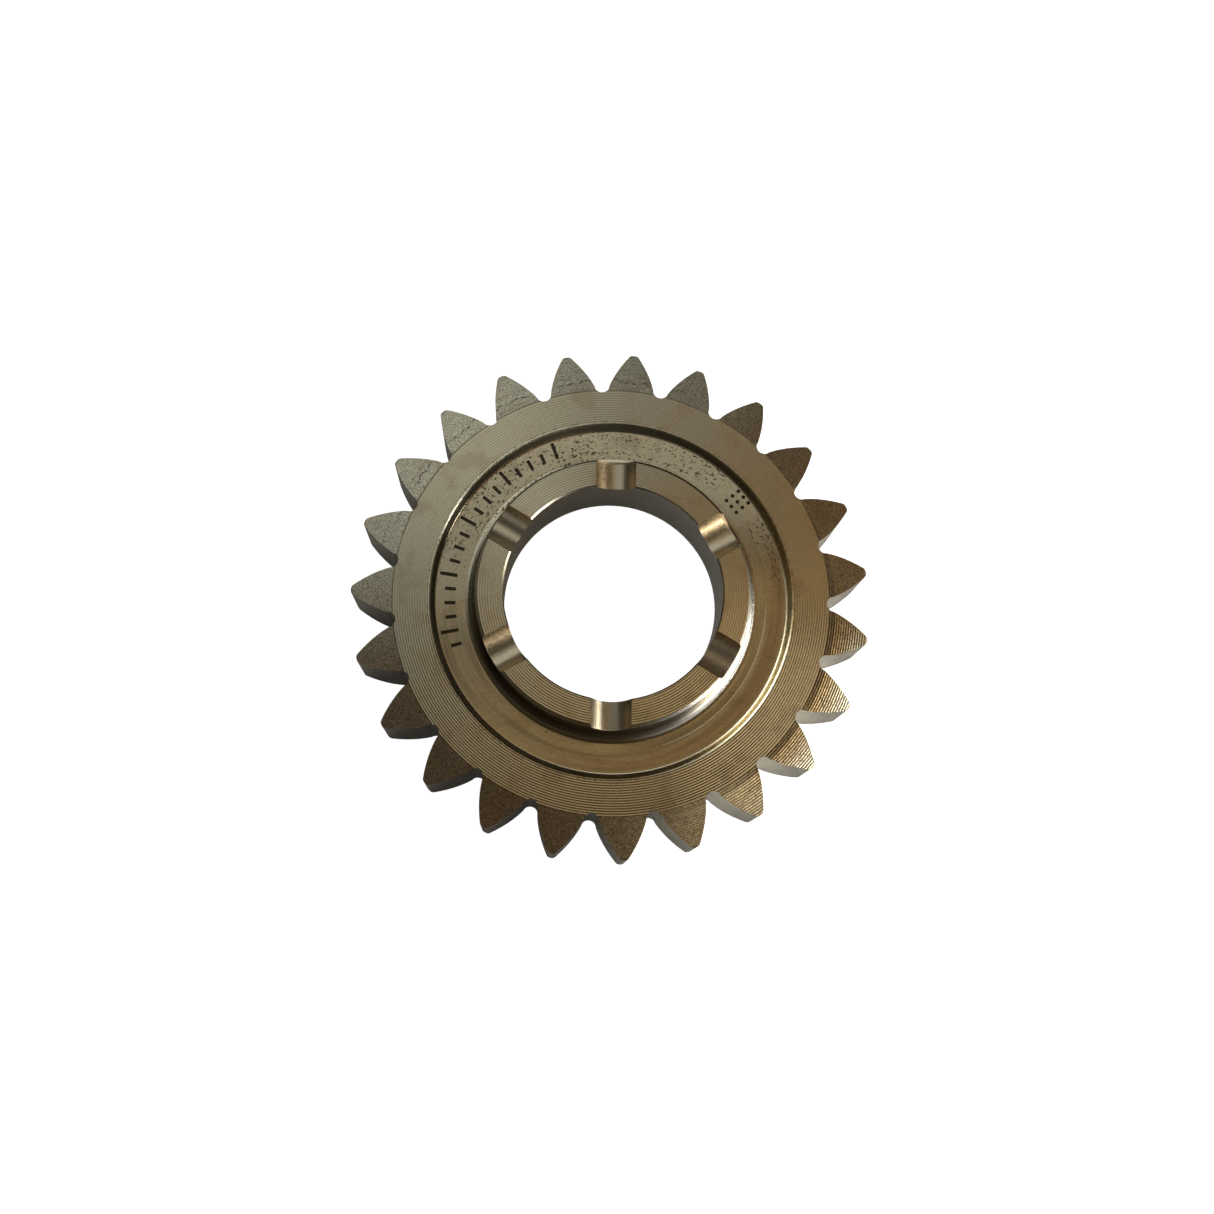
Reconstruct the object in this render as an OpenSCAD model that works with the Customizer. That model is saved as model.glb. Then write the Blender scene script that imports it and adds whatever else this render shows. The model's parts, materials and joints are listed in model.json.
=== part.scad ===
// Spur gear wheel with a lubricated hub
//
// A one-piece steel gear wheel. Straight teeth on the rim, a flat ring inside them,
// a shallow turned web, and a hub collar with half-round oil slots across its face.
// The bore is plain so that a needle cage or a bushing can run in it.
//
// The wheel lies on its back face. The Z axis is the bore axis.

/* [Teeth] */
// Number of teeth on the rim
teeth = 23; // [22:1:30]
// Gear module, mm of pitch diameter for each tooth
gear_module = 2.5; // [2.4:0.05:3]
// Pressure angle of the tooth flanks, degrees
pressure_angle = 30; // [24:0.5:30]
// Depth of the tooth below the pitch circle, in modules
dedendum = 1.12; // [1:0.01:1.2]
// Face width of the rim, measured over the two flat rings, mm
face_width = 10; // [8.5:0.5:16]
// Rounding taken off the corner of each tooth tip, mm
tip_rounding = 0.24; // [0.1:0.02:0.3]
// Small bevel at both ends of each tooth tip, mm
tip_bevel = 0.2; // [0.05:0.05:0.4]
// Small step from the flat ring down to the tooth ends, mm
tooth_relief = 0.08; // [0.04:0.02:0.3]
// How far the tooth ends fall away between the ring and the tips, mm
tooth_fall = 0.6; // [0.1:0.05:0.8]

/* [Ring and web] */
// Radial width of the flat ring inside the teeth, mm
ring_width = 4.45; // [3:0.05:4.6]
// Bevel on the inner edge of the flat ring, mm
ring_bevel = 0.15; // [0.05:0.01:0.2]
// Depth of the front recess at the ring, mm
web_depth = 1; // [0.8:0.05:1.5]
// Extra depth of the recess at the hub, mm
web_dish = 0.2; // [0.05:0.05:0.3]
// Slope of the wall around the front recess, degrees from flat
wall_angle = 58; // [45:1:75]
// Fillet at the foot of that wall, mm
web_fillet = 0.3; // [0.1:0.05:0.4]
// Thickness of the web, mm
web_thickness = 4.1; // [3.5:0.1:4.4]

/* [Hub] */
// Bore diameter, mm
bore_d = 26; // [24:0.5:28]
// Bevel at both ends of the bore, mm
bore_bevel = 0.2; // [0.1:0.05:0.5]
// Wall of the hub collar, mm
hub_wall = 3.4; // [2.8:0.1:3.4]
// Height of the hub face above the flat ring, mm
hub_rise = 3; // [2.6:0.1:4]
// Bevel around the hub collar, mm
hub_bevel = 0.35; // [0.1:0.05:0.5]
// Fillet where the collar meets the web, mm
hub_fillet = 1.2; // [0.3:0.1:1.3]
// How far the back of the hub stands out of the web, mm
hub_back_step = 0.5; // [0.3:0.1:1]

/* [Oil slots] */
// Number of slots across the hub face
slot_count = 6; // [2:1:8]
// Radius of the half-round slot, mm
slot_radius = 2.6; // [1.5:0.1:3]
// Depth of the slot below the hub face, mm
slot_depth = 1.6; // [0.5:0.1:2]
// Angle of the first slot, degrees
slot_start = 30; // [0:1:60]
// Angle of the first tooth, degrees
tooth_start = 7.84; // [0:0.01:15]

/* [Shop marks] */
// Number of plain graduation strokes on the web
stroke_count = 18; // [3:1:18]
// Angle of the first stroke, degrees
stroke_start = 112; // [90:1:130]
// Angle between strokes, degrees
stroke_step = 5.1; // [4:0.1:6]
// Length of the long strokes, mm
stroke_length = 2.1; // [1.4:0.1:2.2]
// Width of a stroke, mm
stroke_width = 0.42; // [0.2:0.02:0.6]
// Depth of the marks, mm
mark_depth = 0.12; // [0.05:0.01:0.2]
// Spacing of the square of small dots, mm
dot_pitch = 0.95; // [0.8:0.05:1]

/* [Hidden] */

round_fn = 96;
gullet_land = 0.25;
step_width = 0.04;
root_steps = 5;
flank_steps = 6;
fillet_steps = 6;

pitch_r = teeth * gear_module / 2;
base_r = pitch_r * cos(pressure_angle);
tip_r = pitch_r + gear_module;
root_r = pitch_r - dedendum * gear_module;
form_r = max(base_r, root_r + 0.35 * gear_module);
tooth_angle = 360 / teeth;
half_tooth = tooth_angle / 4;

ring_outer_r = root_r + gullet_land;
ring_inner_r = ring_outer_r - ring_width;
front_z = face_width;
tooth_front_z = front_z - tooth_relief;
tooth_back_z = tooth_relief;
tip_front_z = tooth_front_z - tooth_fall;
tip_back_z = tooth_back_z + tooth_fall;

web_edge_z = front_z - web_depth;
web_hub_z = web_edge_z - web_dish;
web_back_z = web_hub_z - web_thickness;
wall_top_z = front_z - ring_bevel;
wall_rise = wall_top_z - web_edge_z - web_fillet * (1 - cos(wall_angle));
wall_fillet_r = ring_inner_r - wall_rise / tan(wall_angle) - web_fillet * sin(wall_angle);
back_fillet = 1;
back_bevel = 0.3;
back_ring_r = ring_inner_r - 0.3;

bore_r = bore_d / 2;
hub_r = bore_r + hub_wall;
hub_top_z = front_z + hub_rise;
hub_back_z = web_back_z - hub_back_step;
hub_back_fillet = 0.3;

mark_r = (hub_r + hub_fillet + ring_inner_r) / 2 + 0.15;
mark_floor_z = web_edge_z - web_dish / 2 - mark_depth;
short_stroke = 0.62 * stroke_length;
dot_angle = 40;
dot_r = 0.24;

steel = [0.50, 0.47, 0.40];

// Involute function, in degrees.
function involute(a) = tan(a) * 180 / PI - a;

// Half thickness of the tooth at radius r, in degrees.
function half_angle(r) = half_tooth + involute(pressure_angle) - involute(acos(base_r / r));

function polar(r, a) = [r * cos(a), r * sin(a)];

function arc(x, y, r, from, to, steps) =
    [for (i = [0:steps]) let (a = from + (to - from) * i / steps) [x + r * cos(a), y + r * sin(a)]];

// Half of one tooth as [radius, angle from its middle], from the gullet to the tip.
function half_tooth_line() = let (
        gullet = [for (i = [0:root_steps - 1]) let (k = 90 * i / root_steps) [
            form_r - (form_r - root_r) * cos(k),
            tooth_angle / 2 - (tooth_angle / 2 - half_angle(form_r)) * sin(k)
        ]],
        shoulder_r = tip_r - tip_rounding,
        flank = [for (i = [0:flank_steps]) let (r = form_r + (shoulder_r - form_r) * i / flank_steps)
            [r, half_angle(r)]],
        tip = [
            [tip_r - 0.3 * tip_rounding, 0.7 * half_angle(shoulder_r)],
            [tip_r, 0.3 * half_angle(shoulder_r)]
        ]
    ) concat(gullet, flank, tip);

module tooth_outline() {
    side = half_tooth_line();
    last = len(side) - 1;
    polygon([
        for (t = [0:teeth - 1])
            let (middle = tooth_start + t * tooth_angle)
                for (i = [0:2 * last + 1])
                    i <= last
                        ? polar(side[i][0], middle - side[i][1])
                        : polar(side[2 * last + 1 - i][0], middle + side[2 * last + 1 - i][1])
    ]);
}

// Section of the wheel as turned on the lathe: x is the radius, y is the height.
module turned_section() {
    polygon(concat(
        [
            [bore_r, hub_back_z + bore_bevel],
            [bore_r, hub_top_z - bore_bevel],
            [bore_r + bore_bevel, hub_top_z],
            [hub_r - hub_bevel, hub_top_z],
            [hub_r, hub_top_z - hub_bevel]
        ],
        arc(hub_r + hub_fillet, web_hub_z + hub_fillet, hub_fillet, 180, 270, fillet_steps),
        arc(wall_fillet_r, web_edge_z + web_fillet, web_fillet, 270, 270 + wall_angle, fillet_steps),
        [
            [ring_inner_r, wall_top_z],
            [ring_inner_r + ring_bevel, front_z],
            [ring_outer_r, front_z],
            [ring_outer_r + step_width, tooth_front_z],
            [tip_r - tip_bevel, tip_front_z],
            [tip_r + tip_bevel, tip_front_z - 2 * tip_bevel],
            [tip_r + tip_bevel, tip_back_z + 2 * tip_bevel],
            [tip_r - tip_bevel, tip_back_z],
            [ring_outer_r + step_width, tooth_back_z],
            [ring_outer_r, 0],
            [back_ring_r + back_bevel, 0],
            [back_ring_r, back_bevel]
        ],
        arc(back_ring_r - back_fillet, web_back_z - back_fillet, back_fillet, 0, 90, fillet_steps),
        arc(hub_r + hub_back_fillet, web_back_z - hub_back_fillet, hub_back_fillet, 90, 180, fillet_steps),
        [
            [hub_r - back_bevel, hub_back_z],
            [bore_r + bore_bevel, hub_back_z]
        ]
    ));
}

module oil_slots() {
    for (i = [0:slot_count - 1])
        rotate([0, 0, slot_start + i * 360 / slot_count])
            translate([bore_r - 2, 0, hub_top_z - slot_depth + slot_radius])
                rotate([0, 90, 0])
                    cylinder(h = hub_wall + 4, r = slot_radius, $fn = round_fn);
}

module graduation_strokes() {
    for (i = [0:stroke_count - 1]) {
        stroke = i % 4 == 0 ? stroke_length : short_stroke;
        rotate([0, 0, stroke_start + i * stroke_step])
            translate([mark_r - stroke_length / 2, -stroke_width / 2, mark_floor_z])
                cube([stroke, stroke_width, 1]);
    }
}

module dot_square() {
    rotate([0, 0, dot_angle])
        for (x = [-1:1])
            for (y = [-1:1])
                translate([mark_r + x * dot_pitch, y * dot_pitch, mark_floor_z])
                    cylinder(h = 1, r = dot_r, $fn = round_fn);
}

module gear_wheel() {
    color(steel)
        difference() {
            intersection() {
                linear_extrude(height = hub_top_z + 1)
                    tooth_outline();
                rotate_extrude($fn = round_fn)
                    turned_section();
            }
            oil_slots();
            graduation_strokes();
            dot_square();
        }
}

gear_wheel();
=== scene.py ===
import json
import math

import bpy
from mathutils import Matrix, Vector

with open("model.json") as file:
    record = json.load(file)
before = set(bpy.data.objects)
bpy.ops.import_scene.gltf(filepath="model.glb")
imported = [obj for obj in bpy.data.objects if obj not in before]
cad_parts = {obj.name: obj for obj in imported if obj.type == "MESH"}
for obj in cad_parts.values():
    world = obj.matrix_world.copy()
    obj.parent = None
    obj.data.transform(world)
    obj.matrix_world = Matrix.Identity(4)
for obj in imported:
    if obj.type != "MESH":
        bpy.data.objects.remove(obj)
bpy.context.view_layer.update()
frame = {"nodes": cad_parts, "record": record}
scene = bpy.context.scene

MM = 0.001

# Places read from the CAD part.
wheel = frame["nodes"]["gear_wheel"]
mounts = {m["name"]: m for m in frame["record"]["mounts"]}
BORE_R = mounts["bore"]["dims"]["r_mm"] * MM
HUB_TOP = mounts["hub_face"]["pos_m"][2]
RING_TOP = 2 * mounts["tooth_ring"]["pos_m"][2]

# Radii and then heights in millimetres, for the materials. Some lie just beside the edge they find.
BORE_MM = BORE_R / MM
HUB_R_MM = BORE_MM + 3.4
RING_IN_MM = 21.75
WALL_FOOT_MM = RING_IN_MM - 0.6
INSIDE_ROOT_MM = 25.6
RING_OUT_MM = 26.2
TEAR_MM = 27.5
TIP_MM = 31.2
HUB_TOP_MM = HUB_TOP / MM
RING_TOP_MM = RING_TOP / MM
SLOT_LOW_MM = RING_TOP_MM + 1.1
WEB_HUB_MM = RING_TOP_MM - 1.2
WEB_RING_MM = RING_TOP_MM - 1.0


# ---------------------------------------------------------------- camera
VIEW_TILT = math.radians(13.5)
VIEW_SIDE = math.radians(-101.8)
VIEW_DISTANCE = 183.3 * MM
VIEW_ROLL = math.radians(2.13)
UP_TURN = math.radians(-0.8)
LENS = 45.3
AIM = Vector((-0.59 * MM, -1.26 * MM, RING_TOP - 0.15 * MM))


def make_camera():
    data = bpy.data.cameras.new("camera")
    data.lens = LENS
    data.sensor_width = 36
    data.clip_start = 0.01
    data.clip_end = 10
    cam = bpy.data.objects.new("camera", data)
    scene.collection.objects.link(cam)
    out = Vector((
        math.sin(VIEW_TILT) * math.cos(VIEW_SIDE),
        math.sin(VIEW_TILT) * math.sin(VIEW_SIDE),
        math.cos(VIEW_TILT),
    ))
    place = out * VIEW_DISTANCE + Vector((0, 0, AIM.z))
    ahead = (AIM - place).normalized()
    up_hint = Vector((-math.sin(UP_TURN), math.cos(UP_TURN), 0))
    right = ahead.cross(up_hint).normalized()
    up = right.cross(ahead)
    turned_right = math.cos(VIEW_ROLL) * right + math.sin(VIEW_ROLL) * up
    turned_up = math.cos(VIEW_ROLL) * up - math.sin(VIEW_ROLL) * right
    turn = Matrix((turned_right, turned_up, -ahead)).transposed()
    cam.matrix_world = Matrix.Translation(place) @ turn.to_4x4()
    scene.camera = cam


make_camera()


# ---------------------------------------------------------------- node helpers
class Graph:
    """A small helper that adds shader nodes and joins them."""

    def __init__(self, name):
        self.material = bpy.data.materials.new(name)
        self.material.use_nodes = True
        self.tree = self.material.node_tree
        self.shader = self.tree.nodes["Principled BSDF"]

    def node(self, kind, **settings):
        made = self.tree.nodes.new(kind)
        for key, value in settings.items():
            setattr(made, key, value)
        return made

    def put(self, socket, value):
        if isinstance(value, bpy.types.NodeSocket):
            self.tree.links.new(value, socket)
        else:
            socket.default_value = value

    def math(self, what, *values):
        made = self.node("ShaderNodeMath", operation=what)
        for socket, value in zip(made.inputs, values):
            self.put(socket, value)
        return made.outputs[0]

    def times(self, first, *others):
        for other in others:
            first = self.math("MULTIPLY", first, other)
        return first

    def plus(self, first, *others):
        for other in others:
            first = self.math("ADD", first, other)
        return first

    def minus(self, a, b):
        return self.math("SUBTRACT", a, b)

    def most(self, first, *others):
        for other in others:
            first = self.math("MAXIMUM", first, other)
        return first

    def step(self, value, start, end):
        """0 before start, 1 after end, smooth between. start may lie above end."""
        made = self.node("ShaderNodeMapRange", interpolation_type="SMOOTHSTEP")
        self.put(made.inputs["Value"], value)
        self.put(made.inputs["From Min"], start)
        self.put(made.inputs["From Max"], end)
        return made.outputs["Result"]

    def scale(self, value, low_out, high_out, start=0.0, end=1.0):
        """low_out up to start, high_out from end on, and even between them."""
        made = self.node("ShaderNodeMapRange")
        self.put(made.inputs["Value"], value)
        self.put(made.inputs["From Min"], start)
        self.put(made.inputs["From Max"], end)
        self.put(made.inputs["To Min"], low_out)
        self.put(made.inputs["To Max"], high_out)
        return made.outputs["Result"]

    def band(self, value, rise, top, fall_end, fall):
        """1 between top and fall, 0 before rise and after fall_end, smooth between."""
        return self.times(self.step(value, rise, top), self.step(value, fall_end, fall))

    def vector(self, x, y, z):
        made = self.node("ShaderNodeCombineXYZ")
        for socket, value in zip(made.inputs, (x, y, z)):
            self.put(socket, value)
        return made.outputs[0]

    def noise(self, where, scale, detail=3.0, rough=0.5):
        made = self.node("ShaderNodeTexNoise")
        self.put(made.inputs["Vector"], where)
        self.put(made.inputs["Scale"], scale)
        self.put(made.inputs["Detail"], detail)
        self.put(made.inputs["Roughness"], rough)
        return made.outputs["Fac"]

    def mix(self, factor, a, b, blend="MIX"):
        made = self.node("ShaderNodeMix", data_type="RGBA", blend_type=blend)
        self.put(made.inputs["Factor"], factor)
        for name, value in (("A", a), ("B", b)):
            socket = [s for s in made.inputs if s.name == name and s.type == "RGBA"][0]
            self.put(socket, (*value, 1.0) if isinstance(value, tuple) else value)
        return [s for s in made.outputs if s.type == "RGBA"][0]

    def shade(self, factor, colour, value):
        """The colour made lighter or darker by value, where factor says."""
        return self.mix(factor, colour, self.vector(value, value, value), "MULTIPLY")

    def bump(self, height, distance, normal=None):
        made = self.node("ShaderNodeBump")
        self.put(made.inputs["Height"], height)
        self.put(made.inputs["Distance"], distance)
        self.put(made.inputs["Strength"], 1.0)
        if normal is not None:
            self.put(made.inputs["Normal"], normal)
        return made.outputs["Normal"]


# Linear colours of the steel, of what clings to it, and of the light and shade painted on it.
CLEAN_STEEL = (0.51, 0.48, 0.37)
STRAW_TINT_AND_WARM_LIGHT = (0.65, 0.50, 0.28)
GREY_STEEL = (0.49, 0.485, 0.39)
PAINTED_PALE_LIGHT = (0.66, 0.62, 0.48)
PAINTED_HIGHLIGHT_STEEL = (0.86, 0.84, 0.77)
SLOT_STEEL = (0.52, 0.47, 0.36)
PAINTED_SLOPE_REFLECTION = (0.29, 0.31, 0.22)
SHADE_AND_MOTTLE_STEEL = (0.33, 0.29, 0.22)
BRIGHT_WEAR_AND_HIGHLIGHT = (0.85, 0.81, 0.66)
PAINTED_GOLD_LIGHT = (0.60, 0.45, 0.26)
BROWN_FILM_AND_SHADE = (0.20, 0.125, 0.065)
DEEP_BROWN = (0.16, 0.10, 0.04)
RUST_FILM = (0.42, 0.22, 0.10)
DARK_GRIME_AND_SHADE = (0.035, 0.026, 0.016)
WEB_SHADE_TINT = (0.60, 0.56, 0.50)

# Bearings, in degrees, of the middle of each film, stain and stretch of wear, and of each stretch of painted
# light and shade.
SHADED_TEETH_LOW = 232
SHADED_WALL = 252
SHADED_RIM = 65
SHADED_TEETH_RIGHT = 20
SHADED_FACES = 56
SHADED_WEB_SIDE = 52
DOTS_SIDE = 40
TORN_TEETH = 118
RUST_SIDE = 127
LIT_WEB = 134
FAR_EDGE_HIGHLIGHT_SIDE = 144
FOOT_HIGHLIGHT_SIDE = 312
WORN_AND_LIT_SIDE = 315
WORN_AND_LIT_SLOPE = 325
KEY_LIT_RINGS = 327
TIP_HIGHLIGHT_SIDE = 329
FOOT_AND_SLOT_SHADE = 330
DARK_BROWN_TEETH = 335

# Millimetres between feed marks and between the milling marks in a slot, and the angle between slots.
FEED = 0.30
MILL_STEP = 0.31
SLOT_STEP = math.pi / 3

# Metres of relief that each kind of mark has.
FEED_RELIEF = 0.000017
CLOUD_RELIEF = 0.000012
PIT_RELIEF = 0.00001
SLOT_RELIEF = 0.000004


class Surface:
    """The places and region masks of the wheel that its materials share, in millimetres."""

    def __init__(self, g):
        coords = g.node("ShaderNodeTexCoord")
        place = g.node("ShaderNodeSeparateXYZ")
        g.put(place.inputs[0], coords.outputs["Object"])
        self.x, self.y, self.z = [g.times(side, 1 / MM) for side in place.outputs]
        self.here = g.vector(self.x, self.y, self.z)
        self.r = g.math("SQRT", g.plus(g.times(self.x, self.x), g.times(self.y, self.y)))
        self.angle = g.math("ARCTAN2", self.y, self.x)
        self.turn_x, self.turn_y = [g.math("DIVIDE", side, self.r) for side in (self.x, self.y)]
        face = g.node("ShaderNodeSeparateXYZ")
        g.put(face.inputs[0], coords.outputs["Normal"])
        self.facing_x, self.facing_y = face.outputs[0], face.outputs[1]
        self.up = g.math("ABSOLUTE", face.outputs[2])
        self.flat = g.step(self.up, 0.80, 0.93)
        self.slot = self.slot_mask(g)

        in_web = g.band(self.r, HUB_R_MM + 0.3, HUB_R_MM + 0.8, WALL_FOOT_MM + 0.02, WALL_FOOT_MM - 0.1)
        self.web = g.times(in_web, g.step(self.z, RING_TOP_MM - 0.4, RING_TOP_MM - 0.7))
        self.slope = g.band(self.r, WALL_FOOT_MM + 0.05, WALL_FOOT_MM + 0.2, RING_IN_MM + 0.06, RING_IN_MM)
        self.bore = g.step(self.r, BORE_MM + 0.12, BORE_MM + 0.05)
        self.hub_face = g.times(g.step(self.r, HUB_R_MM, HUB_R_MM - 0.1),
                                g.step(self.z, HUB_TOP_MM - 0.05, HUB_TOP_MM - 0.02))
        self.tooth = g.times(g.step(self.r, RING_OUT_MM, RING_OUT_MM + 0.06), self.flat)
        self.flank = g.times(g.step(self.r, INSIDE_ROOT_MM, INSIDE_ROOT_MM + 0.1), g.step(self.up, 0.5, 0.3))
        self.machined = g.times(self.flat, g.minus(1.0, g.most(self.web, self.slot)))
        self.far = g.scale(self.y, 0.08, 1.0, 0.0, 13.0)

    def slot_mask(self, g):
        """The slots' own surface: in the collar, from just below their floor up, not facing outward."""
        along = g.plus(g.times(self.facing_x, self.x), g.times(self.facing_y, self.y))
        outward = g.math("ABSOLUTE", g.math("DIVIDE", along, self.r))
        in_collar = g.step(self.r, HUB_R_MM + 0.35, HUB_R_MM + 0.25)
        in_height = g.band(self.z, SLOT_LOW_MM, SLOT_LOW_MM + 0.05, HUB_TOP_MM - 0.03, HUB_TOP_MM - 0.08)
        return g.times(in_collar, in_height, g.step(outward, 0.55, 0.45))

    def ringed(self, g, across, along):
        """A place for a noise drawn out round the wheel: across per mm of radius, along per radian."""
        return g.vector(g.times(self.r, across), g.times(self.turn_x, along), g.times(self.turn_y, along))

    def side(self, g, bearing, start, full):
        """0 to 1 as the cosine of the angle from the bearing goes from start to full, either way round."""
        way = math.radians(bearing)
        dot = g.plus(g.times(self.x, math.cos(way)), g.times(self.y, math.sin(way)))
        return g.step(g.math("DIVIDE", dot, self.r), start, full)

    def facing(self, g, bearing):
        """How far the surface itself leans to the bearing given."""
        way = math.radians(bearing)
        return g.plus(g.times(self.facing_x, math.cos(way)), g.times(self.facing_y, math.sin(way)))


class Patterns:
    """The noises that several parts of the surface share."""

    def __init__(self, g, s):
        self.streak = g.noise(s.ringed(g, 6.0, 3.0), 1.0, 3.0, 0.6)
        self.speck = g.noise(s.ringed(g, 3.6, 46.0), 1.0, 2.0, 0.6)
        self.grain = g.noise(s.here, 5.0, 3.0, 0.6)
        self.blotch = g.noise(s.here, 0.22, 4.0, 0.55)
        self.mottle = g.noise(s.here, 1.3, 4.0, 0.65)
        self.rough_cut = g.noise(s.here, 2.6, 4.0, 0.7)


# ---------------------------------------------------------------- masks
def turning_wave(g, s):
    """The lathe's feed marks, from -1 to 1: one even ring for each turn of the work."""
    wander = g.noise(s.ringed(g, 0.6, 0.8), 1.0, 1.0)
    turns = g.plus(g.math("DIVIDE", s.r, FEED), g.times(wander, 0.06))
    return g.math("SINE", g.times(turns, 2 * math.pi))


def painted_shade_mask(g, s):
    """Painted shade: dark on the recess slope except on the lower right, on the collar wall at the bottom,
    round the collar rim on the upper right, and at the foot of the teeth.
    """
    sloping = g.times(s.slope, g.step(s.z, RING_TOP_MM - 0.12, RING_TOP_MM - 0.2))
    slope = g.times(sloping, g.scale(s.side(g, WORN_AND_LIT_SLOPE, 0.6, 0.95), 0.75, 0.0))
    on_wall = g.times(g.band(s.r, HUB_R_MM - 0.1, HUB_R_MM - 0.04, HUB_R_MM + 1.2, HUB_R_MM + 0.5),
                      g.step(s.z, HUB_TOP_MM - 0.25, HUB_TOP_MM - 0.5))
    wall = g.times(on_wall, s.side(g, SHADED_WALL, 0.3, 0.75))
    at_rim = g.times(g.band(s.r, HUB_R_MM - 0.35, HUB_R_MM - 0.25, HUB_R_MM + 0.3, HUB_R_MM + 0.1),
                     g.step(s.z, HUB_TOP_MM - 0.02, HUB_TOP_MM - 0.06))
    rim = g.times(at_rim, s.side(g, SHADED_RIM, 0.75, 0.95))
    collar = g.times(g.most(wall, rim), 0.92)
    foot_end = g.scale(s.side(g, FOOT_AND_SLOT_SHADE, 0.5, 0.9), RING_OUT_MM + 0.1, RING_OUT_MM + 0.9)
    tooth_foot = g.times(g.step(s.r, RING_OUT_MM - 0.06, RING_OUT_MM + 0.02),
                         g.math("LESS_THAN", s.r, foot_end))
    return g.most(slope, collar, g.times(tooth_foot, s.flat, 0.52))


def cut_mark_mask(g, s):
    """The strokes and dots cut into the web: whatever lies below its gently sloping floor."""
    floor_z = g.scale(s.r, WEB_HUB_MM, WEB_RING_MM, HUB_R_MM + 1.2, WALL_FOOT_MM)
    return g.times(g.step(g.minus(floor_z, s.z), 0.03, 0.08), s.web)


def pit_mask(g, s, p):
    """Small pits in loose rows on the web, most of all on the far side and none by the dots."""
    row = g.noise(s.ringed(g, 2.2, 2.0), 1.0, 2.0)
    pitted = g.plus(p.speck, g.scale(row, -0.10, 0.10, 0.3, 0.7))
    return g.times(g.step(pitted, 0.60, 0.67), s.web, s.far, s.side(g, DOTS_SIDE, 0.993, 0.98))


def key_lit_wall_mask(g, s):
    """Painted gold light on the slot walls that face the lower right, towards the key light, fading out
    towards the slot at the bottom.
    """
    # Painted gold light on the slot walls that lean towards the key light.
    facing_key = g.times(g.step(s.facing(g, WORN_AND_LIT_SIDE), 0.08, 0.3), g.step(s.y, -13.0, -6.0))
    return g.times(facing_key, s.slot)


# ---------------------------------------------------------------- films, marks, and painted light and shade on the steel
def steel_and_painted_light(g, s, p):
    """Clean at the upper left, straw at the lower right, partly the steel's tint and partly a painted warm
    reflection; grey tooth ends; on the flanks and bore wall a painted reflection, lighter to the right, and
    painted shade to the left.
    """
    lean = g.minus(g.times(s.x, 0.68), g.times(s.y, 0.73))
    warm = g.scale(g.plus(lean, g.scale(p.blotch, -12.0, 12.0)), 0.0, 1.0, -14.0, 12.0)
    # Straw towards the lower right: partly the steel's own tint, partly a painted warm reflection.
    colour = g.mix(warm, CLEAN_STEEL, STRAW_TINT_AND_WARM_LIGHT)
    colour = g.mix(g.times(s.tooth, g.scale(warm, 0.9, 0.1)), colour, GREY_STEEL)
    # Painted light on the flanks and bore wall: a pale painted reflection on the right, painted shade on the
    # left.
    painted_flank_light = g.mix(g.step(s.x, -16.0, 14.0), SHADE_AND_MOTTLE_STEEL, PAINTED_HIGHLIGHT_STEEL)
    return g.mix(g.most(s.flank, s.bore), colour, painted_flank_light)


def painted_face_shade(g, s, colour):
    """Painted shade: the flat faces are darker on the upper right."""
    # Painted shade darkens the flat faces and the web on the upper right.
    flat_shade = g.times(s.side(g, SHADED_FACES, 0.2, 0.95), s.machined)
    upper_web_shade = g.times(s.side(g, SHADED_WEB_SIDE, 0.65, 0.97), s.web)
    colour = g.mix(g.times(flat_shade, 0.40), colour, DARK_GRIME_AND_SHADE)
    return g.mix(g.times(upper_web_shade, 0.46), colour, DARK_GRIME_AND_SHADE)


def teeth_grit_and_shade(g, s, p, colour):
    """The tooth ends are gritty, with painted shade in brown on the lower left and on the right, darker
    brown on the lower right, and painted highlights at the tips there.
    """
    # Painted shade in brown on the tooth ends at the lower left and at the right.
    shade_low = g.times(s.side(g, SHADED_TEETH_LOW, 0.45, 0.97), 0.80)
    shade_right = g.times(s.side(g, SHADED_TEETH_RIGHT, 0.68, 0.9), 0.64)
    colour = g.mix(g.times(s.tooth, g.most(shade_low, shade_right)), colour, BROWN_FILM_AND_SHADE)
    worn_and_lit = s.side(g, DARK_BROWN_TEETH, 0.80, 0.97)
    colour = g.mix(g.times(worn_and_lit, s.tooth, 0.84), colour, DEEP_BROWN)
    # Painted highlight: paler tips on the teeth at the lower right.
    tip_highlight = g.times(s.side(g, TIP_HIGHLIGHT_SIDE, 0.86, 0.99), g.step(s.r, RING_OUT_MM + 1.0, TIP_MM))
    colour = g.mix(g.times(tip_highlight, s.tooth, 0.85), colour, CLEAN_STEEL)
    depth = g.scale(worn_and_lit, 0.7, 1.0)
    gritty = g.scale(p.grain, g.minus(1.0, depth), g.plus(1.0, depth), 0.25, 0.75)
    return g.shade(s.tooth, colour, gritty)


def tear_teeth(g, s, p, colour):
    """A ragged dark line crosses the tooth ends on the far side, where the cut tore the steel."""
    wander = g.noise(s.ringed(g, 0.2, 22.0), 1.0, 3.0, 0.6)
    tear_r = g.scale(wander, TEAR_MM - 0.5, TEAR_MM + 0.5, 0.25, 0.75)
    off_tear = g.math("ABSOLUTE", g.minus(s.r, tear_r))
    tear = g.times(g.step(off_tear, 0.14, 0.04), s.side(g, TORN_TEETH, 0.62, 0.85))
    broken = g.step(p.mottle, 0.42, 0.52)
    return g.mix(g.times(tear, s.tooth, broken, 0.75), colour, DARK_GRIME_AND_SHADE)


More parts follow.
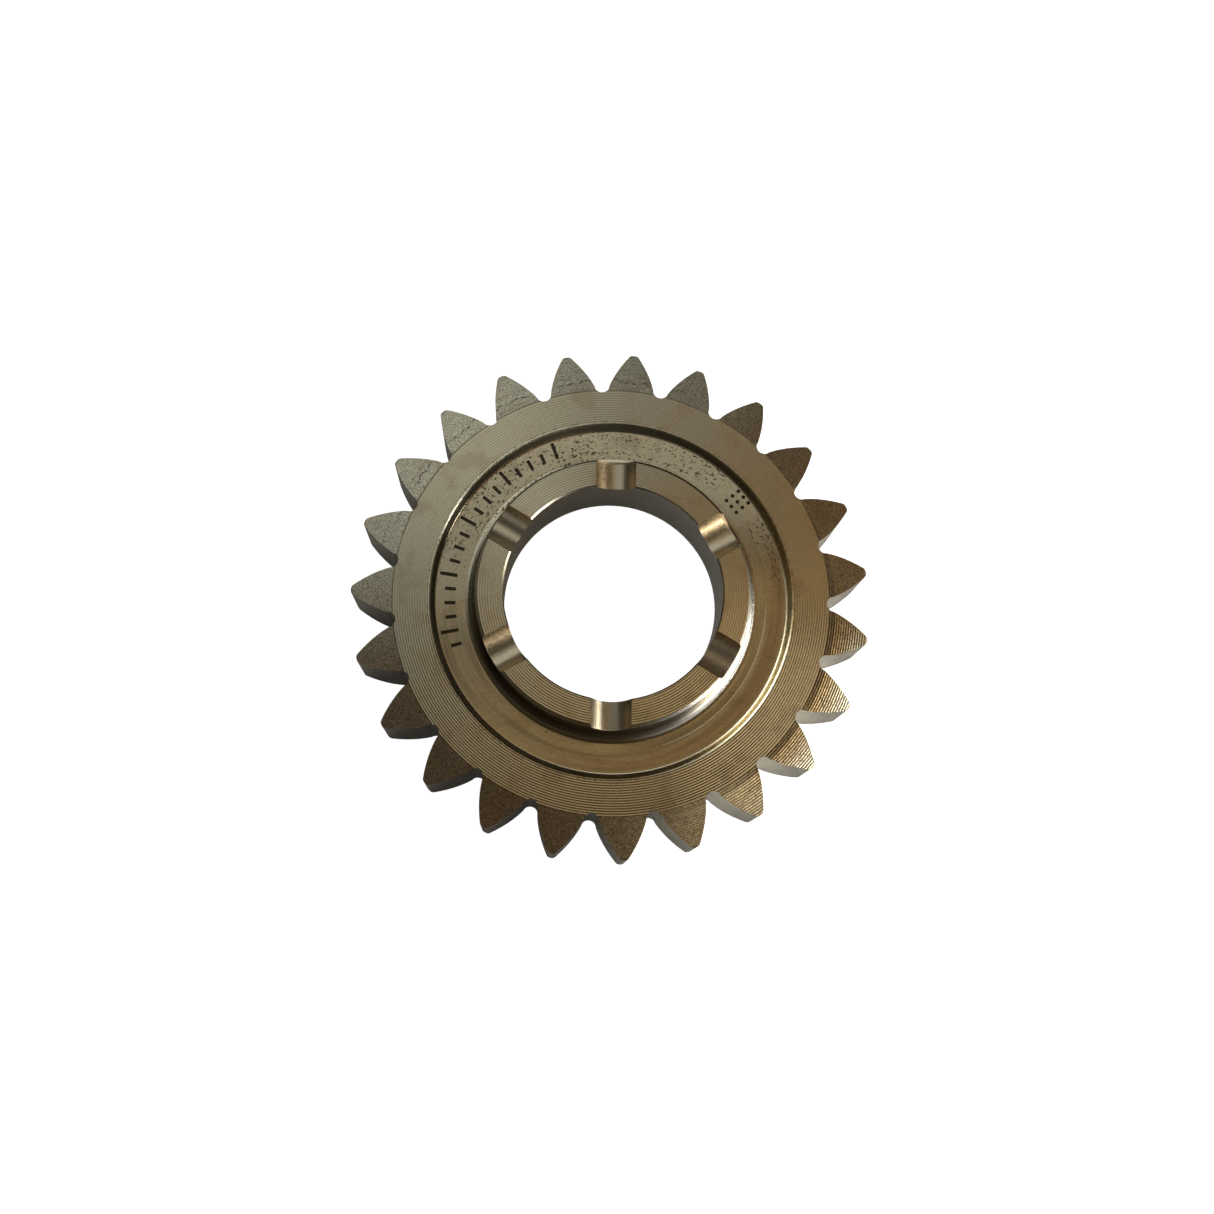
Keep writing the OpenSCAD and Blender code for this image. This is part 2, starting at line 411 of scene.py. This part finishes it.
def web_stains_and_light(g, s, p, colour):
    """The ground web is mottled: painted light makes it pale on the far side, painted shade tones it down
    and it is swept with streaks everywhere but the upper left, and it is browned on the lower right.
    """
    # Painted shade tones the web down everywhere but the upper left.
    shaded_near_web = g.times(s.web, s.side(g, LIT_WEB, 0.85, 0.4))
    colour = g.mix(shaded_near_web, colour, WEB_SHADE_TINT, "MULTIPLY")
    swept = g.noise(s.ringed(g, 1.6, 1.2), 1.0, 3.0, 0.6)
    colour = g.shade(shaded_near_web, colour, g.scale(swept, 0.72, 1.28, 0.3, 0.7))
    # Painted light makes the web pale on the far side.
    lit_far_web = g.times(s.web, g.step(s.y, 4.0, 16.0))
    colour = g.mix(g.times(lit_far_web, 0.85), colour, PAINTED_PALE_LIGHT)
    browned = g.times(g.band(s.r, HUB_R_MM + 2.6, HUB_R_MM + 3.6, WALL_FOOT_MM - 0.1, WALL_FOOT_MM - 0.8),
                      s.side(g, WORN_AND_LIT_SIDE, 0.2, 0.9))
    colour = g.mix(g.times(browned, s.web, 0.30), colour, RUST_FILM)
    uneven = g.times(s.web, g.step(p.mottle, 0.50, 0.64), s.far)
    colour = g.mix(g.times(uneven, 0.35), colour, SHADE_AND_MOTTLE_STEEL)
    film = g.times(g.step(p.blotch, 0.54, 0.70), s.web)
    return g.mix(g.times(film, 0.3), colour, BROWN_FILM_AND_SHADE)


def streak_faces(g, s, p, colour):
    """Dark streaks along the turning, strongest on the teeth, with a few nicks, rim dirt and stains."""
    torn = g.times(g.step(p.streak, 0.56, 0.70), g.scale(s.tooth, 0.18, 0.5))
    colour = g.mix(g.times(torn, s.machined), colour, BROWN_FILM_AND_SHADE)
    nick = g.noise(s.here, 0.9, 4.0, 0.75)
    colour = g.mix(g.times(g.step(nick, 0.68, 0.73), 0.55), colour, DARK_GRIME_AND_SHADE)
    rim_dirt = g.times(g.step(p.speck, 0.55, 0.60),
                       g.band(s.r, RING_IN_MM + 0.12, RING_IN_MM + 0.2, RING_IN_MM + 0.7, RING_IN_MM + 0.25))
    colour = g.mix(g.times(rim_dirt, 0.45), colour, DARK_GRIME_AND_SHADE)
    stain = g.times(g.step(p.blotch, 0.52, 0.66), s.machined)
    return g.mix(g.times(stain, 0.22), colour, BROWN_FILM_AND_SHADE)


def scratch_web(g, s, colour):
    """One long bright scratch runs round the web on the worn side."""
    thin = g.band(s.r, HUB_R_MM + 2.22, HUB_R_MM + 2.26, HUB_R_MM + 2.40, HUB_R_MM + 2.36)
    scratch = g.times(thin, s.web, s.side(g, WORN_AND_LIT_SLOPE, 0.75, 0.95))
    return g.mix(g.times(scratch, 0.6), colour, BRIGHT_WEAR_AND_HIGHLIGHT)


def paint_wall_highlights(g, s, colour):
    """Painted highlights: pale steel on the lower right of the collar, a darker olive painted reflection on
    the recess slope there, and bright lines at the foot and edge of the wall.
    """
    on_collar = g.times(g.band(s.r, HUB_R_MM - 0.36, HUB_R_MM - 0.3, HUB_R_MM + 1.2, HUB_R_MM + 0.8),
                        g.step(s.z, HUB_TOP_MM - 0.02, HUB_TOP_MM - 0.06))
    # Painted highlight on the collar and painted reflection on the recess slope, on the side of the key
    # light.
    key_lit_side = s.side(g, KEY_LIT_RINGS, 0.6, 0.9)
    colour = g.mix(g.times(on_collar, key_lit_side), colour, PAINTED_HIGHLIGHT_STEEL)
    colour = g.mix(g.times(s.slope, key_lit_side), colour, PAINTED_SLOPE_REFLECTION)
    # Painted highlights: bright lines at the foot and the edge of the recess wall.
    at_foot = g.band(s.r, WALL_FOOT_MM - 0.06, WALL_FOOT_MM, WALL_FOOT_MM + 0.24, WALL_FOOT_MM + 0.16)
    foot_highlight = g.times(at_foot, s.side(g, FOOT_HIGHLIGHT_SIDE, 0.15, 0.6))
    at_edge = g.band(s.r, RING_IN_MM - 0.06, RING_IN_MM, RING_IN_MM + 0.26, RING_IN_MM + 0.18)
    edge_highlight = g.times(at_edge, g.most(s.side(g, WORN_AND_LIT_SIDE, 0.75, 0.92), s.side(g, FAR_EDGE_HIGHLIGHT_SIDE, 0.55, 0.85)))
    high = g.step(s.z, RING_TOP_MM - 1.3, RING_TOP_MM - 1.1)
    return g.mix(g.times(g.most(foot_highlight, edge_highlight), high), colour, BRIGHT_WEAR_AND_HIGHLIGHT)


def rust_foot(g, s, colour):
    """A thin line of rust in the corner of the recess on the far side."""
    corner = g.band(s.r, WALL_FOOT_MM - 0.22, WALL_FOOT_MM - 0.12, WALL_FOOT_MM + 0.1, WALL_FOOT_MM)
    return g.mix(g.times(corner, s.side(g, RUST_SIDE, 0.80, 0.95), 0.6), colour, RUST_FILM)


def colour_slots(g, s, p, key_lit_walls, shaded, colour):
    """Cleaner steel in the slots, painted shade in brown on the shaded one, and painted gold light on the
    walls that face the key light, with brown patches of rough skin, most of them on those walls.
    """
    colour = g.mix(g.times(s.slot, 0.8), colour, SLOT_STEEL)
    # Painted shade in brown on the slot at the lower right.
    colour = g.mix(g.times(shaded, 0.45), colour, BROWN_FILM_AND_SHADE)
    # Painted gold light on the slot walls that face the key light.
    colour = g.mix(g.times(key_lit_walls, 0.8), colour, PAINTED_GOLD_LIGHT)
    skin = g.times(g.step(p.rough_cut, 0.48, 0.62), g.scale(key_lit_walls, 0.2, 0.55))
    return g.mix(g.times(skin, s.slot), colour, BROWN_FILM_AND_SHADE)


def feed_mark_shading(g, s, wave, worn_and_lit, colour):
    """The feed marks are painted as fine light and dark rings, the light and shade of their grooves,
    strongest on the lower right.
    """
    # Painted light and shade of the grooves, stronger on the side of the key light.
    lit_side_depth = g.times(worn_and_lit, g.plus(g.scale(s.hub_face, 0.36, 0.08), g.times(s.tooth, 0.5)))
    ring_depth = g.times(g.plus(g.scale(s.hub_face, 0.05, 0.13), lit_side_depth), s.machined)
    return g.shade(1.0, colour, g.plus(1.0, g.times(wave, g.math("MINIMUM", ring_depth, 0.85))))


# ---------------------------------------------------------------- relief and roughness
def relief(g, s, p, wave, worn_and_lit, pits, key_lit_walls):
    """Feed grooves, then grit and clouds, then pits, then the cut surface of the slots."""
    worn_groove = g.times(worn_and_lit, g.scale(s.hub_face, 0.69, 0.15), g.scale(s.tooth, 1.0, 1.3))
    groove = g.times(s.machined, g.plus(worn_groove, 0.22))
    normal = g.bump(g.times(wave, groove), FEED_RELIEF)

    gritted = g.times(p.grain, s.flat, g.scale(s.tooth, 0.2, 0.6))
    beyond_fillet = g.times(s.web, g.step(s.r, HUB_R_MM + 1.0, HUB_R_MM + 1.6))
    normal = g.bump(g.plus(gritted, g.times(p.mottle, beyond_fillet)), CLOUD_RELIEF, normal)
    normal = g.bump(g.times(pits, -1.0), PIT_RELIEF, normal)

    # Each slot is milled along its length, and roughest on the walls that face the key light.
    turn = g.math("WRAP", g.minus(s.angle, SLOT_STEP / 2), SLOT_STEP / 2, -SLOT_STEP / 2)
    offset = g.times(s.r, turn)
    mill = g.times(g.math("SINE", g.times(offset, 2 * math.pi / MILL_STEP)), s.slot)
    cut = g.times(p.rough_cut, g.times(s.slot, g.scale(key_lit_walls, 0.9, 4.0)))
    return g.bump(g.plus(g.times(mill, 0.25), cut), SLOT_RELIEF, normal)


def roughness(g, s, p, pits, marks_and_shade, shaded):
    """Polished turning, rougher on the teeth, in pits, cut marks and painted shade, and in the slots."""
    rough = g.plus(g.scale(p.grain, 0.20, 0.31), g.times(s.tooth, 0.16))
    rough = g.plus(rough, g.times(g.most(pits, marks_and_shade), 0.3))
    return g.plus(rough, g.times(g.plus(s.slot, shaded), 0.09))


def turned_steel():
    g = Graph("turned_steel")
    s = Surface(g)
    p = Patterns(g, s)
    pits = pit_mask(g, s, p)
    key_lit_walls = key_lit_wall_mask(g, s)
    # Painted shade on the slot at the lower right.
    shaded = g.times(s.side(g, FOOT_AND_SLOT_SHADE, 0.90, 0.97), s.slot)
    # Dark cut marks in the web, with painted shade on the walls, the collar and the foot of the teeth.
    marks_and_shade = g.most(g.times(cut_mark_mask(g, s), 0.9), painted_shade_mask(g, s))
    wave = turning_wave(g, s)
    worn_and_lit = s.side(g, KEY_LIT_RINGS, 0.72, 1.0)

    colour = steel_and_painted_light(g, s, p)
    colour = painted_face_shade(g, s, colour)
    colour = teeth_grit_and_shade(g, s, p, colour)
    colour = tear_teeth(g, s, p, colour)
    colour = web_stains_and_light(g, s, p, colour)
    colour = g.mix(g.times(pits, 0.8), colour, DARK_GRIME_AND_SHADE)
    colour = streak_faces(g, s, p, colour)
    colour = scratch_web(g, s, colour)
    colour = paint_wall_highlights(g, s, colour)
    colour = rust_foot(g, s, colour)
    # Dark cut marks and painted shade.
    colour = g.mix(marks_and_shade, colour, DARK_GRIME_AND_SHADE)
    colour = colour_slots(g, s, p, key_lit_walls, shaded, colour)
    colour = feed_mark_shading(g, s, wave, worn_and_lit, colour)

    g.put(g.shader.inputs["Base Color"], colour)
    g.put(g.shader.inputs["Metallic"], 1.0)
    g.put(g.shader.inputs["Roughness"], roughness(g, s, p, pits, marks_and_shade, shaded))
    g.put(g.shader.inputs["Normal"], relief(g, s, p, wave, worn_and_lit, pits, key_lit_walls))
    return g.material


def edge_steel():
    g = Graph("edge_steel")
    s = Surface(g)
    worn_and_lit = g.noise(s.here, 1.4, 3.0, 0.6)
    colour = g.mix(g.step(worn_and_lit, 0.35, 0.6), CLEAN_STEEL, BRIGHT_WEAR_AND_HIGHLIGHT)
    # Painted shade on the edges too, where the faces beside them have it.
    colour = g.mix(painted_shade_mask(g, s), colour, DARK_GRIME_AND_SHADE)
    g.put(g.shader.inputs["Base Color"], colour)
    g.put(g.shader.inputs["Metallic"], 1.0)
    g.put(g.shader.inputs["Roughness"], 0.3)
    return g.material


def stage_paint(name, grey, glow, glow_colour=(1.0, 1.0, 1.0)):
    g = Graph(name)
    g.put(g.shader.inputs["Base Color"], (grey, grey, grey, 1.0))
    g.put(g.shader.inputs["Roughness"], 0.9)
    g.put(g.shader.inputs["Emission Color"], (*glow_colour, 1.0))
    g.put(g.shader.inputs["Emission Strength"], glow)
    return g.material


# ---------------------------------------------------------------- the wheel
EDGE_BREAK = 0.08 * MM
EDGE_ANGLE = math.radians(35)


def dress_wheel():
    wheel.data.materials.clear()
    wheel.data.materials.append(turned_steel())
    wheel.data.materials.append(edge_steel())
    for face in wheel.data.polygons:
        face.material_index = 0
        face.use_smooth = True
    bevel = wheel.modifiers.new("edge_break", "BEVEL")
    bevel.width = EDGE_BREAK
    bevel.segments = 3
    bevel.limit_method = "ANGLE"
    bevel.angle_limit = EDGE_ANGLE
    bevel.material = 1
    even = wheel.modifiers.new("even_normals", "WEIGHTED_NORMAL")
    even.mode = "FACE_AREA"
    even.weight = 50


dress_wheel()


# ---------------------------------------------------------------- stage and light
FLOOR_HALF = 3.0
MIRROR_DROP = 0.1 * MM
DRUM_SIDES = 48
DRUM_RADIUS = 2.8
DRUM_HEIGHT = 2.8
DRUM_FOOT = -0.05
WORLD_COLOUR = (1.0, 0.85, 0.65)
WORLD_STRENGTH = 0.03


def stage_mesh(name, corners, faces, paint):
    mesh = bpy.data.meshes.new(name)
    mesh.from_pydata(corners, [], faces)
    mesh.materials.append(paint)
    made = bpy.data.objects.new(name, mesh)
    scene.collection.objects.link(made)
    return made


def ground(name, height, paint):
    signs = [(-1, -1), (1, -1), (1, 1), (-1, 1)]
    corners = [(x * FLOOR_HALF, y * FLOOR_HALF, height) for x, y in signs]
    return stage_mesh(name, corners, [(0, 1, 2, 3)], paint)


def make_floor():
    """A white floor for the eye, and under it a plain one that the steel mirrors, shadows included."""
    floor = ground("floor", 0, stage_paint("floor_white", grey=0.5, glow=1.0))
    floor.visible_glossy = False
    floor.visible_diffuse = False
    plain = stage_paint("floor_plain", grey=0.8, glow=0.02, glow_colour=(0.9, 0.97, 1.0))
    mirrored = ground("floor_mirrored", -MIRROR_DROP, plain)
    mirrored.visible_camera = False


def make_backdrop():
    """A white drum round the floor, seen only by the eye, so that low views have no dark sky."""
    turns = [2 * math.pi * i / DRUM_SIDES for i in range(DRUM_SIDES)]
    rim = [(DRUM_RADIUS * math.cos(turn), DRUM_RADIUS * math.sin(turn)) for turn in turns]
    corners = [(x, y, DRUM_FOOT) for x, y in rim] + [(x, y, DRUM_HEIGHT) for x, y in rim]
    faces = []
    for i in range(DRUM_SIDES):
        following = (i + 1) % DRUM_SIDES
        faces.append((i, following, DRUM_SIDES + following, DRUM_SIDES + i))
    faces.append(tuple(range(DRUM_SIDES, 2 * DRUM_SIDES)))
    backdrop = stage_mesh("backdrop", corners, faces, stage_paint("backdrop_white", grey=0.5, glow=1.0))
    backdrop.visible_glossy = False
    backdrop.visible_diffuse = False
    backdrop.visible_transmission = False
    backdrop.visible_shadow = False


def area_light(name, place, size, radiance, colour):
    """A soft box at place, turned to the wheel. radiance is its brightness as seen from there."""
    data = bpy.data.lights.new(name, "AREA")
    data.shape = "RECTANGLE"
    data.size, data.size_y = size
    data.energy = radiance * math.pi * size[0] * size[1]
    data.color = colour
    lamp = bpy.data.objects.new(name, data)
    scene.collection.objects.link(lamp)
    lamp.visible_camera = False
    lamp.location = place
    lamp.rotation_euler = (-Vector(place)).to_track_quat("-Z", "Y").to_euler()


def around(turn, tilt, distance):
    """A place seen from the wheel: turn is its bearing, tilt its angle from straight up."""
    a, t = math.radians(turn), math.radians(tilt)
    level = distance * math.sin(t)
    return (level * math.cos(a), level * math.sin(a), distance * math.cos(t))


def make_lights():
    area_light("far_box", around(113, 40, 0.7), size=(0.58, 0.5), radiance=0.82, colour=(1.0, 0.99, 0.93))
    area_light("top_box", around(84, 14, 0.8), size=(0.22, 0.22), radiance=0.42, colour=(1.0, 0.96, 0.82))
    area_light("brown_box", around(40, 26, 0.75), size=(0.4, 0.34), radiance=0.31, colour=(1.0, 0.7, 0.4))
    area_light("key_box", around(342, 69, 0.7), size=(0.6, 0.34), radiance=9.5, colour=(1.0, 0.96, 0.88))
    area_light("fill_box", around(228, 50, 0.9), size=(0.6, 0.5), radiance=0.32, colour=(1.0, 0.97, 0.92))
    world = bpy.data.worlds.new("studio")
    world.use_nodes = True
    background = world.node_tree.nodes["Background"]
    background.inputs["Color"].default_value = (*WORLD_COLOUR, 1.0)
    background.inputs["Strength"].default_value = WORLD_STRENGTH
    scene.world = world
    scene.view_settings.view_transform = "Standard"


make_floor()
make_backdrop()
make_lights()
